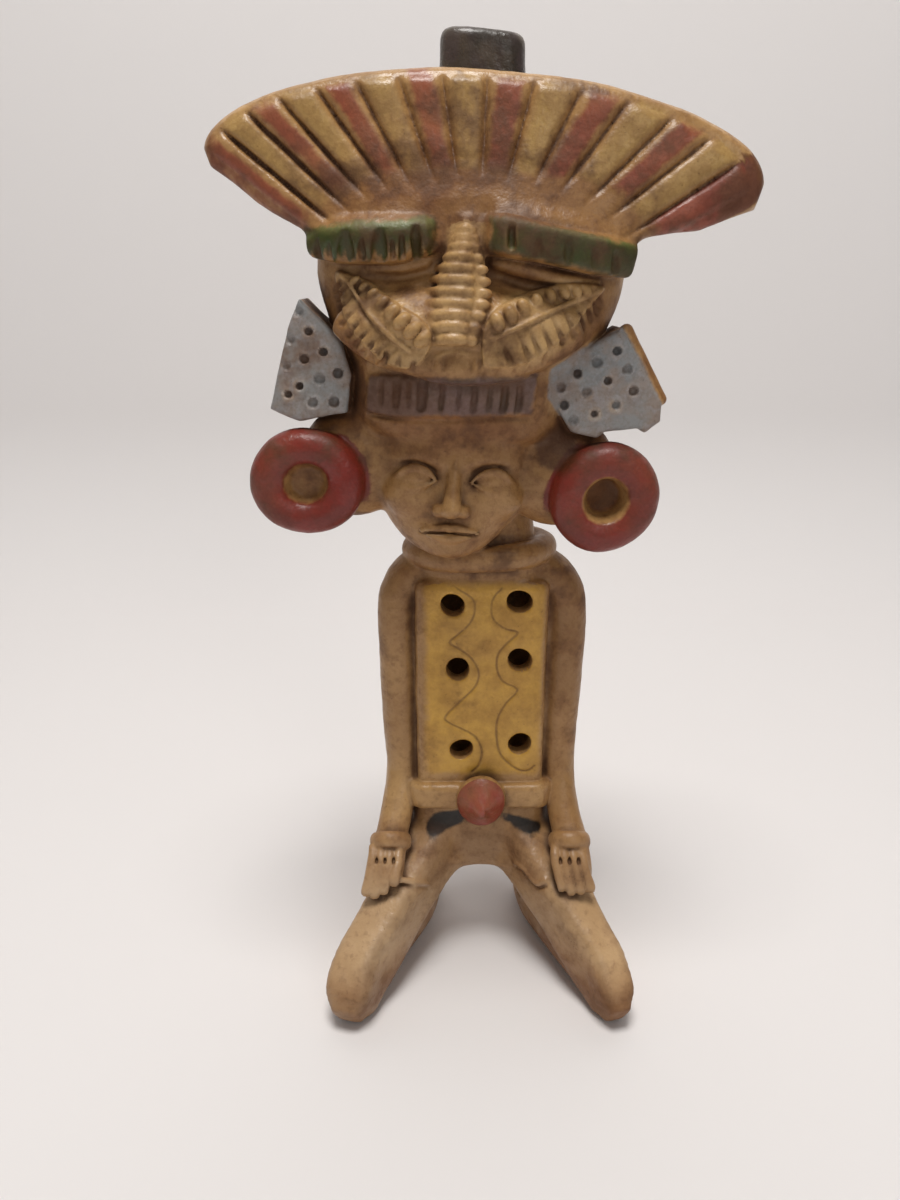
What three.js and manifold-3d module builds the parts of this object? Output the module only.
// A kneeling figure that is also a double flute, modelled and fired as one piece of clay.
// Millimetres, +Z up, the figure faces -Y. The origin is at the middle of the underside of its box.
import * as THREE from 'three';
import { mergeVertices } from 'three/addons/utils/BufferGeometryUtils.js';
import Module from 'manifold-3d';

const wasm = await Module();
wasm.setup();

// Driving dimensions, in millimetres above the surface that the figure kneels on
const TOTAL_HEIGHT = 230;
const NECK_HEIGHT = 115.5;
const SHOULDER_HEIGHT = 109;
const BELT_HEIGHT = 49.5;
const BELT_WIDTH = 7.4;
const SEAT_HEIGHT = 24;

// Body of the flute
const TORSO_WIDTH = 33.5;
const TORSO_DEPTH = 19;
const TORSO_CORNER = 3.2;
const TORSO_SIDE_SHIFT = 0.2;
const ARM_SIDE_SHIFT = 0.5;
const BORE_DIAMETER = 9.5;
const BORE_SIDE_SHIFTS = [-6.2, 9.2];
const BORE_TOP = 184;
const FINGER_HOLE_DIAMETER = 6.1;
const FINGER_HOLES = [[-7, 103.2], [-5.7, 85.8], [-4.8, 62.7], [9.7, 104.2], [10.1, 88.3], [10.7, 64.4]];
const FINGER_HOLE_DEPTH = 10;

// Mouthpiece and the tube behind the mask
const MOUTH_WIDTH = 18;
const MOUTH_DEPTH = 12.5;
const MOUTH_SIDE_SHIFT = -0.7;
const MOUTH_BACK_SHIFT = 3.5;
const MOUTH_SLANT = THREE.MathUtils.degToRad(4.6);
const WINDWAY_WIDTH = 5;
const WINDWAY_THICKNESS = 1.8;
const WINDOW_WIDTH = 6.4;
const WINDOW_HEIGHT = 5;

// The mask hangs a little askew: its middle line leans right and its level lines droop right
const MASK_LEAN = THREE.MathUtils.degToRad(4.8);
const MASK_DROOP = THREE.MathUtils.degToRad(3.2);
const MASK_SIDE_SHIFT = -6.1;
const MASK_PIVOT_HEIGHT = 134;
const MASK_BACK = -1;
const LAPPET_FRONT = -19;

// Feather headdress: two half ovals, the feathers run from the inner one to the outer one
const FAN_OUTER = { across: 57.6, up: 18.5, level: 200.4 };
const FAN_INNER = { across: 35, up: 15.8, level: 186.2 };
const FAN_THICKNESS = 10;
const FAN_FRONT = -16;
const FEATHER_COUNT = 15;

// Ear spools
const SPOOL_THICKNESS = 8;
const SPOOL_BACK = -14;
const SPOOL_HOLE = 0.32;
const SPOOLS = [
  { x: -34.1, height: 134.4, width: 26.2, tall: 24 },
  { x: 33.6, height: 134.5, width: 25, tall: 25.4 },
];

// Legs
const KNEE_SPAN = 66;
const KNEE_SIDE_SHIFT = 0.5;
const HEEL_SPAN = 34;

// Slivers shorter than this that are left by joining and cutting are closed up
const SHORTEST_EDGE = 0.06;

const clay = new THREE.MeshStandardMaterial({ color: 0xa9875a, roughness: 0.62, metalness: 0 });

// A closed geometry as a solid that can be joined and cut
function solid(geometry) {
  geometry.deleteAttribute('normal');
  geometry.deleteAttribute('uv');
  const merged = mergeVertices(geometry, 1e-4);
  return new wasm.Manifold(new wasm.Mesh({
    numProp: 3,
    vertProperties: new Float32Array(merged.attributes.position.array),
    triVerts: new Uint32Array(merged.index.array),
  }));
}

function joined(solids) {
  return solids.reduce((whole, next) => whole.add(next));
}

// A form carried along stations. Each station is [x, y, z, half side, half front], its ring stands
// square to the path, and squareness 2 is an oval ring, higher is nearer to a box.
function lofted(stations, sides, squareness = 2, front = new THREE.Vector3(0, -1, 0)) {
  const geometry = new THREE.CylinderGeometry(1, 1, 1, sides, stations.length - 1);
  const points = stations.map(([x, y, z]) => new THREE.Vector3(x, y, z));
  const frames = points.map((point, i) => {
    const ahead = points[Math.min(i + 1, points.length - 1)];
    const behind = points[Math.max(i - 1, 0)];
    const along = ahead.clone().sub(behind).normalize();
    const side = along.clone().cross(front).normalize();
    return { side, face: side.clone().cross(along).normalize() };
  });
  const position = geometry.attributes.position;
  for (let v = 0; v < position.count; v++) {
    const ring = Math.round((position.getY(v) + 0.5) * (stations.length - 1));
    const [, , , halfSide, halfFront] = stations[ring];
    const x = position.getX(v);
    const z = position.getZ(v);
    const reach = Math.hypot(x, z) < 1e-6 ? 0
      : (Math.abs(x) ** squareness + Math.abs(z) ** squareness) ** (-1 / squareness);
    const place = points[ring].clone()
      .addScaledVector(frames[ring].side, x * reach * halfSide)
      .addScaledVector(frames[ring].face, z * reach * halfFront);
    position.setXYZ(v, place.x, place.y, place.z);
  }
  return geometry;
}

// Small round beads that make one corrugated form from one place to another
function ribbed(from, to, ribs, depth, sides, front) {
  const steps = ribs * 2;
  const stations = [];
  for (let i = 0; i <= steps; i++) {
    const t = i / steps;
    const swell = Math.min(1, 0.55 + 2.2 * Math.sin(Math.PI * t)) * (i % 2 ? 1 : 1 - depth);
    const mix = from.map((value, k) => value + (to[k] - value) * t);
    stations.push([mix[0], mix[1], mix[2], mix[3] * swell, mix[4] * swell]);
  }
  return lofted(stations, sides, 2.6, front);
}

// A flat plate whose outline is drawn in the X-Z plane, from its back to its front
function plate(outline, back, front, edge) {
  const shape = new THREE.Shape(outline.map(([x, z]) => new THREE.Vector2(x, z)));
  const geometry = new THREE.ExtrudeGeometry(shape, {
    depth: back - front - 2 * edge,
    bevelThickness: edge,
    bevelSize: edge,
    bevelOffset: -edge,
    bevelSegments: 1,
  });
  return geometry.rotateX(Math.PI / 2).translate(0, back - edge, 0);
}

function ellipsoid(center, half, around, down) {
  return new THREE.SphereGeometry(1, around, down).rotateX(Math.PI / 2).scale(...half).translate(...center);
}

// From the mask's own level frame to its place on the flute
const maskFrame = new THREE.Matrix4().set(
  Math.cos(MASK_DROOP), 0, Math.tan(MASK_LEAN), MASK_SIDE_SHIFT - Math.tan(MASK_LEAN) * MASK_PIVOT_HEIGHT,
  0, 1, 0, 0,
  -Math.sin(MASK_DROOP), 0, 1, 0,
  0, 0, 0, 1,
);

function maskSolid(geometry) {
  return solid(geometry.applyMatrix4(maskFrame));
}

// Feather edges, counted from the viewer's left: close at the middle, wider towards both tips
function featherAngle(edge) {
  const s = 2 * edge / FEATHER_COUNT - 1;
  return THREE.MathUtils.degToRad(70 * s + 16 * s ** 3 - 5.9 * (1 - s * s));
}

function onOval(oval, angle) {
  return [oval.across * Math.sin(angle), oval.level + oval.up * Math.cos(angle)];
}

// One sheet of clay with a corrugated front: a crest along each feather, a groove between two,
// and a plain rim along the top
function fan() {
  const rows = [
    { t: -0.35, crest: -24, groove: -22 },
    { t: 0.02, crest: -22.6, groove: -19 },
    { t: 0.86, crest: -18.8, groove: -16.2 },
    { t: 0.91, crest: FAN_FRONT, groove: FAN_FRONT },
    { t: 1, crest: FAN_FRONT + 2, groove: FAN_FRONT + 2 },
  ];
  const leftEdge = { inner: [-36, 187], outer: [-56, 198.4] };
  const rightEdge = { inner: [34.5, 189.8], outer: [56.6, 196] };
  const columns = 2 * FEATHER_COUNT + 2;
  const sheet = new THREE.BoxGeometry(1, 1, 1, columns, 1, rows.length - 1);
  const position = sheet.attributes.position;
  for (let v = 0; v < position.count; v++) {
    const column = Math.round((position.getX(v) + 0.5) * columns);
    const { t, crest, groove } = rows[Math.round((position.getZ(v) + 0.5) * (rows.length - 1))];
    const angle = featherAngle((column - 1) / 2);
    const edge = { 0: leftEdge, [columns]: rightEdge }[column];
    const inner = edge ? edge.inner : onOval(FAN_INNER, angle);
    const outer = edge ? edge.outer : onOval(FAN_OUTER, angle);
    const front = edge ? FAN_FRONT + 3 : (column % 2 ? groove : crest);
    position.setXYZ(
      v,
      inner[0] + (outer[0] - inner[0]) * t,
      position.getY(v) < 0 ? front : FAN_FRONT + FAN_THICKNESS,
      inner[1] + (outer[1] - inner[1]) * t,
    );
  }
  return maskSolid(sheet);
}

// The animal's head that the figure wears as a helmet
function animalHead() {
  const helmet = lofted([
    [-1, -8, 146, 20, 11], [-1, -8, 152, 21.5, 13.4], [-1, -8, 160, 24, 14.6], [-1, -8, 168, 29.6, 16.5],
    [-1, -8, 177, 33, 14.5], [-1, -8, 183, 33.4, 14], [-1, -8, 187, 34, 16], [-1, -8, 193, 34.5, 15],
    [-1, -8, 200, 31, 11],
  ], 16, 2.9);
  const muzzle = ellipsoid([-2.3, -20, 169.5], [25.5, 11.5, 9.6], 12, 8);
  const upwards = new THREE.Vector3(0, -1, 0);
  const snout = ribbed([-2.4, -24.5, 191, 3.2, 3.6], [-2.4, -28.8, 165.5, 5.4, 4.6], 8, 0.16, 6, upwards);
  const leaves = [[-5.6, 165.6, -28, 178.6], [1.6, 165.4, 23.4, 178.8]].map(([x0, z0, x1, z1]) => ribbed(
    [x0, -30, z0, 4, 3.2], [x1, -24.5, z1, 2.8, 3], 6, 0.16, 6, upwards,
  ));
  const brows = [
    [-34.6, 185.8, -9.6, 188.2, 6], [2.8, 188.3, 31.6, 185.4, 5],
  ].map(([x0, z0, x1, z1, notches]) => ribbed(
    [x0, -21.5, z0, 3.9, 4], [x1, -23.5, z1, 3.9, 4.4], notches, 0.12, 6, upwards,
  ));
  const eyes = [-14.5, 11.5].map((x) => ellipsoid([x, -20.6, 180.6], [7, 2.6, 2.4], 8, 4));
  const band = ribbed([-22, -21.6, 155.6, 3.9, 3], [16, -21.6, 156.9, 3.9, 3], 8, 0.12, 6, upwards);
  return [helmet, muzzle, snout, ...leaves, ...brows, ...eyes, band].map(maskSolid);
}

// A calm, general face: thirds from the band to the chin, eyes one fifth of its width
function face() {
  const middle = -1;
  const width = 41;
  const hairline = 152;
  const chin = 117.6;
  const third = (hairline - chin) / 3;
  const brow = hairline - third;
  const noseBase = brow - third;
  const mouth = noseBase - third / 3;
  const eye = width / 5;
  const front = -20.5;
  const head = lofted([
    [middle, -8, chin, 4, 8], [middle, -7, chin + 1.6, 8, 12], [middle, -6, chin + 5, 12.4, 14],
    [middle, -6, noseBase, 17, 14.6], [middle, -6, brow - 2, 20, 14.2],
    [middle, -6, brow + 6, width / 2, 14.6], [middle, -6, hairline + 6, width / 2, 14],
  ], 16, 2.3);
  const nose = lofted([
    [middle, front + 1.2, brow + 1, 1.8, 1.4], [middle, front + 0.2, brow - 4, 2, 2.2],
    [middle, front - 1.4, noseBase + 3, 3, 3.4], [middle, front - 2, noseBase + 1, 3.9, 3.6],
    [middle, front - 0.6, noseBase - 0.8, 2.6, 2.2],
  ], 8);
  const eyes = [-1, 1].map((side) => ellipsoid(
    [middle + side * eye * 1.02, front + 2.6, brow - 2.6], [eye / 2 + 0.4, 2.6, 2.1], 8, 5,
  ));
  const browRidges = [-1, 1].map((side) => lofted([
    [middle + side * 2.4, front + 1.2, brow + 0.6, 0.9, 1.2],
    [middle + side * 8, front + 1.4, brow + 2, 1.1, 1.6],
    [middle + side * 13.4, front + 3.6, brow + 0.4, 0.8, 1.4],
  ], 5));
  const lips = [0.75, -0.95].map((lift) => ellipsoid(
    [middle, front + 1.2, mouth + lift], [eye * 0.75 - 0.4 * (1 - lift), 2.2, 1.15], 8, 4,
  ));
  const chinBall = ellipsoid([middle, front + 3.4, chin + 4.2], [5, 4, 3.6], 8, 5);
  return [head, nose, ...eyes, ...browRidges, ...lips, chinBall].map(maskSolid);
}

// Blue lappets beside the head, punched with rows of dots
function lappets() {
  const left = {
    outline: [
      [-37, 174], [-28, 166], [-25, 158.5], [-25.6, 150.4], [-36, 148.2], [-42.6, 150.4], [-39.2, 167.5],
    ],
    first: [-34.6, 167.2], step: [-3.9, -1.9], row: [3.3, -4], counts: [2, 3, 4, 4],
  };
  const right = {
    outline: [[32, 171.6], [18, 162.4], [18.4, 156.4], [24, 149], [30, 148], [43.6, 152.4], [43.2, 156.5]],
    first: [31.8, 166.9], step: [-3.9, -2.6], row: [2.8, -3.7], counts: [4, 4, 4],
  };
  return [left, right].map(({ outline, first, step, row, counts }) => {
    const clockwise = THREE.ShapeUtils.isClockWise(outline.map(([x, z]) => new THREE.Vector2(x, z)));
    let whole = maskSolid(plate(clockwise ? [...outline].reverse() : outline, -6, LAPPET_FRONT, 1.4));
    counts.forEach((count, r) => {
      for (let c = 0; c < count; c++) {
        const dot = new THREE.CylinderGeometry(0.95, 0.8, 3, 5)
          .translate(first[0] + r * row[0] + c * step[0], LAPPET_FRONT, first[1] + r * row[1] + c * step[1]);
        whole = whole.subtract(maskSolid(dot));
      }
    });
    return whole;
  });
}

// Ring profile turned about Y: rounded outside, dished towards a blind hole in the middle
function earSpools() {
  const profile = [
    [0, 0], [0.76, 0], [0.95, 0.2], [1, 0.5], [0.94, 0.82], [0.76, 1],
    [SPOOL_HOLE + 0.14, 0.9], [SPOOL_HOLE, 0.7], [SPOOL_HOLE - 0.06, 0.42], [0, 0.38],
  ].map(([r, h]) => new THREE.Vector2(r, h * SPOOL_THICKNESS));
  return SPOOLS.flatMap(({ x, height, width, tall }) => [
    new THREE.LatheGeometry(profile, 15).rotateX(Math.PI)
      .scale(width / 2, 1, tall / 2).translate(x, SPOOL_BACK, height),
    ellipsoid([x - Math.sign(x) * 10, -10, height + 4], [13, 8, 13], 8, 6),
  ]).map(maskSolid);
}

function mask() {
  const whole = joined([fan(), ...animalHead(), ...face(), ...lappets(), ...earSpools()]);
  const behind = solid(new THREE.BoxGeometry(200, 60, 200).translate(0, MASK_BACK + 30, 170));
  return whole.subtract(behind);
}

function roundedRect(width, depth, corner) {
  const shape = new THREE.Shape();
  const [x, y] = [width / 2 - corner, depth / 2 - corner];
  shape.absarc(x, y, corner, 0, Math.PI / 2);
  shape.absarc(-x, y, corner, Math.PI / 2, Math.PI);
  shape.absarc(-x, -y, corner, Math.PI, 1.5 * Math.PI);
  shape.absarc(x, -y, corner, 1.5 * Math.PI, 2 * Math.PI);
  return shape;
}

function upright(shape, low, high, edge, x, y) {
  return new THREE.ExtrudeGeometry(shape, {
    depth: high - low - 2 * edge,
    bevelThickness: edge,
    bevelSize: edge,
    bevelOffset: -edge,
    bevelSegments: 1,
    curveSegments: 3,
  }).translate(x, y, low + edge);
}

// The tube that carries the mask and ends in the mouthpiece
function tube() {
  const top = TOTAL_HEIGHT;
  const x = MOUTH_SIDE_SHIFT;
  const y = MOUTH_BACK_SHIFT;
  const column = lofted([
    [0.2, 0, SHOULDER_HEIGHT - 12, 15, 8.6], [0.2, 0, SHOULDER_HEIGHT, 15.6, 9],
    [0, 0, NECK_HEIGHT, 14.4, 8.8], [0, 1, NECK_HEIGHT + 8, 13, 8.2],
    [x, y, 150, 12, 7.2], [x, y, 186, 12, 7.2], [x, y, 208, MOUTH_WIDTH / 2 + 0.8, MOUTH_DEPTH / 2 + 0.4],
    [x, y, top - 4, MOUTH_WIDTH / 2, MOUTH_DEPTH / 2],
    [x, y, top + 4, MOUTH_WIDTH / 2 - 1.8, MOUTH_DEPTH / 2 - 1.2],
  ], 14, 3);
  const above = new THREE.BoxGeometry(60, 60, 20).translate(0, 0, 10)
    .rotateY(MOUTH_SLANT).translate(x, y, top - Math.tan(MOUTH_SLANT) * MOUTH_WIDTH / 2);
  return solid(column).subtract(solid(above));
}

// The wedge that opens a sound window: level at its top edge, a ramp rises to its lower edge
function windowCut(middle) {
  const low = BORE_TOP - WINDOW_HEIGHT;
  const back = 20;
  const profile = [
    [MOUTH_BACK_SHIFT, BORE_TOP], [MOUTH_BACK_SHIFT, low], [MOUTH_BACK_SHIFT + 3, low], [back, low - 12],
    [back, BORE_TOP],
  ].map(([y, z]) => new THREE.Vector2(y, z));
  const sideways = new THREE.Matrix4().makeBasis(
    new THREE.Vector3(0, 1, 0), new THREE.Vector3(0, 0, 1), new THREE.Vector3(1, 0, 0),
  ).setPosition(middle - WINDOW_WIDTH / 2, 0, 0);
  return new THREE.ExtrudeGeometry(new THREE.Shape(profile), { depth: WINDOW_WIDTH, bevelEnabled: false })
    .applyMatrix4(sideways);
}

// Two bores, open below; each has a windway from the mouth and a sound window in the back
function windPassages() {
  const radius = BORE_DIAMETER / 2;
  const cuts = BORE_SIDE_SHIFTS.flatMap((shift) => {
    const side = Math.sign(shift);
    const high = MOUTH_SIDE_SHIFT + side * 5.6;
    const bore = lofted([
      [shift, 0, SEAT_HEIGHT - 14, radius, radius], [shift, 0, SHOULDER_HEIGHT, radius, radius],
      [high, MOUTH_BACK_SHIFT, 150, radius - 0.4, radius - 0.6],
      [high, MOUTH_BACK_SHIFT, BORE_TOP, radius - 0.6, radius - 0.8],
    ], 12);
    const windway = lofted([
      [high, MOUTH_BACK_SHIFT + 2.4, BORE_TOP - 1, WINDWAY_WIDTH / 2, WINDWAY_THICKNESS / 2],
      [
        MOUTH_SIDE_SHIFT + side * 4, MOUTH_BACK_SHIFT, TOTAL_HEIGHT + 3,
        WINDWAY_WIDTH / 2, WINDWAY_THICKNESS / 2,
      ],
    ], 8, 8);
    return [bore, windway, windowCut(high)].map(solid);
  });
  FINGER_HOLES.forEach(([x, z]) => {
    const half = FINGER_HOLE_DIAMETER / 2;
    cuts.push(solid(new THREE.CylinderGeometry(half, half, FINGER_HOLE_DEPTH, 10)
      .translate(x, -TORSO_DEPTH / 2 + FINGER_HOLE_DEPTH / 2 - 1, z)));
  });
  return joined(cuts);
}

// Trunk, hips, belt with its cone-shaped disc, the webs that hold the arms, and the neck ring
function torso() {
  const trunk = upright(
    roundedRect(TORSO_WIDTH, TORSO_DEPTH, TORSO_CORNER),
    SEAT_HEIGHT + 14, SHOULDER_HEIGHT, 1.6, TORSO_SIDE_SHIFT, 0,
  );
  const hips = lofted([
    [0.4, 0, SEAT_HEIGHT, 15, 7], [0.4, 0, SEAT_HEIGHT + 3, 18.6, 9.4], [0.4, 0, BELT_HEIGHT - 8, 19, 10.8],
    [0.2, 0, BELT_HEIGHT, 17, 9.6],
  ], 14, 3);
  const belt = upright(
    roundedRect(TORSO_WIDTH + 5, TORSO_DEPTH + 5.4, TORSO_CORNER + 1.6),
    BELT_HEIGHT - BELT_WIDTH / 2, BELT_HEIGHT + BELT_WIDTH / 2, 1.5, TORSO_SIDE_SHIFT, 0,
  );
  const discProfile = [[0, -3], [6.2, -3], [6.5, -1], [5.2, 1.2], [2, 3.4], [0, 4]];
  const disc = new THREE.LatheGeometry(discProfile.map(([r, h]) => new THREE.Vector2(r, h)), 14)
    .rotateX(Math.PI).scale(1, 1, 1.12).translate(0.6, -14, BELT_HEIGHT);
  const webs = new THREE.BoxGeometry(TORSO_WIDTH + 8, 6, SHOULDER_HEIGHT - BELT_HEIGHT)
    .translate(TORSO_SIDE_SHIFT, 2.5, (SHOULDER_HEIGHT + BELT_HEIGHT) / 2);
  const ringProfile = Array.from({ length: 8 }, (_, i) => new THREE.Vector2(
    15.8 + 3.9 * Math.cos(i * Math.PI * 2 / 7), 4 * Math.sin(i * Math.PI * 2 / 7),
  ));
  const neckRing = new THREE.LatheGeometry(ringProfile, 18).rotateX(Math.PI / 2).scale(1, 0.7, 1)
    .rotateY(-0.05).translate(-0.3, 0, NECK_HEIGHT);
  return [trunk, hips, belt, disc, webs, neckRing].map(solid);
}

function arms() {
  return [-1, 1].flatMap((side) => {
    const arm = lofted([
      [side * 10, 0, SHOULDER_HEIGHT + 2.5, 4, 5], [side * 16.2, -0.5, SHOULDER_HEIGHT + 1.2, 5, 6],
      [side * 20.4, -0.9, SHOULDER_HEIGHT - 3.4, 5.2, 6], [side * 21.9, -1.4, 98, 4.9, 5.6],
      [side * 21.6, -1.6, 76, 4.8, 5.4], [side * 21.2, -2.4, 57, 4.4, 5],
      [side * 22, -7, 47, 4.3, 4.8], [side * 24, -14.6, 37.4, 4.4, 4.2],
    ], 10);
    const bracelet = lofted([
      [side * 23.2, -12.4, 41.4, 4.6, 4.6], [side * 23.5, -13.4, 40.2, 5.5, 5.5],
      [side * 24, -15.6, 37.4, 5.6, 5.5], [side * 24.2, -16.6, 36.2, 4.8, 4.7],
    ], 10);
    const palm = lofted([
      [side * 24, -15.4, 37.4, 4.4, 3.4], [side * 24.6, -18, 34.6, 5.2, 3.4],
      [side * 25.3, -20.6, 30.8, 5.3, 3.2], [side * 25.7, -22, 27.8, 4.6, 2.6],
    ], 8, 2.6);
    const fingerGaps = joined([-1, 0, 1].map((gap) => solid(
      new THREE.BoxGeometry(0.6, 4, 9).rotateX(-0.48).translate(side * 25.5 + gap * 2.5, -24.4, 29),
    )));
    const parts = [solid(arm), solid(bracelet), solid(palm).subtract(fingerGaps)];
    return parts.map((part) => part.translate([ARM_SIDE_SHIFT, 0, 0]));
  });
}

// Thighs spread to the knees in front, shins folded back under them to the feet
function legs() {
  const overhead = new THREE.Vector3(0, 0, 1);
  const whole = joined([-1, 1].flatMap((side) => {
    const knee = KNEE_SPAN / 2;
    const heel = HEEL_SPAN / 2;
    const thigh = lofted([
      [side * 8, 2, 34, 9.4, 9], [side * 14.4, -6, 31, 9.2, 9], [side * 19.6, -15, 24.4, 8.2, 8.8],
      [side * 25.4, -24, 17, 7.7, 8.4], [side * (knee - 2.2), -31.4, 10.6, 7.5, 8.2],
      [side * (knee + 0.1), -36.8, 6.4, 6.8, 7], [side * (knee + 1.2), -40.6, 3.8, 4.2, 4.6],
    ], 10, 2, overhead).translate(KNEE_SIDE_SHIFT, 0, 0);
    const shin = lofted([
      [side * knee, -34, 5.4, 5.4, 5.6], [side * (knee - 7), -18, 7, 6.2, 7.2],
      [side * (heel + 2), -2, 9.4, 6.6, 10], [side * heel, 7, 8.6, 6.2, 9.6],
      [side * (heel - 0.4), 13, 4.6, 5.2, 5.6], [side * (heel - 0.6), 17, 3.4, 3.4, 3.6],
    ], 10, 2, overhead).translate(KNEE_SIDE_SHIFT, 0, 0);
    return [thigh, shin].map(solid);
  }));
  const below = solid(new THREE.BoxGeometry(200, 200, 40).translate(0, 0, -20));
  return whole.subtract(below);
}

function flute() {
  const body = joined([tube(), ...torso(), ...arms(), legs(), mask()]).subtract(windPassages())
    .simplify(SHORTEST_EDGE);
  const mesh = body.getMesh();
  const geometry = new THREE.BufferGeometry();
  geometry.setAttribute('position', new THREE.BufferAttribute(mesh.vertProperties, 3));
  geometry.setIndex(new THREE.BufferAttribute(mesh.triVerts, 1));
  const box = new THREE.Box3().setFromBufferAttribute(geometry.attributes.position);
  const middle = box.getCenter(new THREE.Vector3());
  geometry.translate(-middle.x, -middle.y, -box.min.z);
  geometry.computeVertexNormals();
  const piece = new THREE.Mesh(geometry, clay);
  piece.name = 'figure_flute';
  return piece;
}

const figure = new THREE.Group();
figure.add(flute());

export default figure;
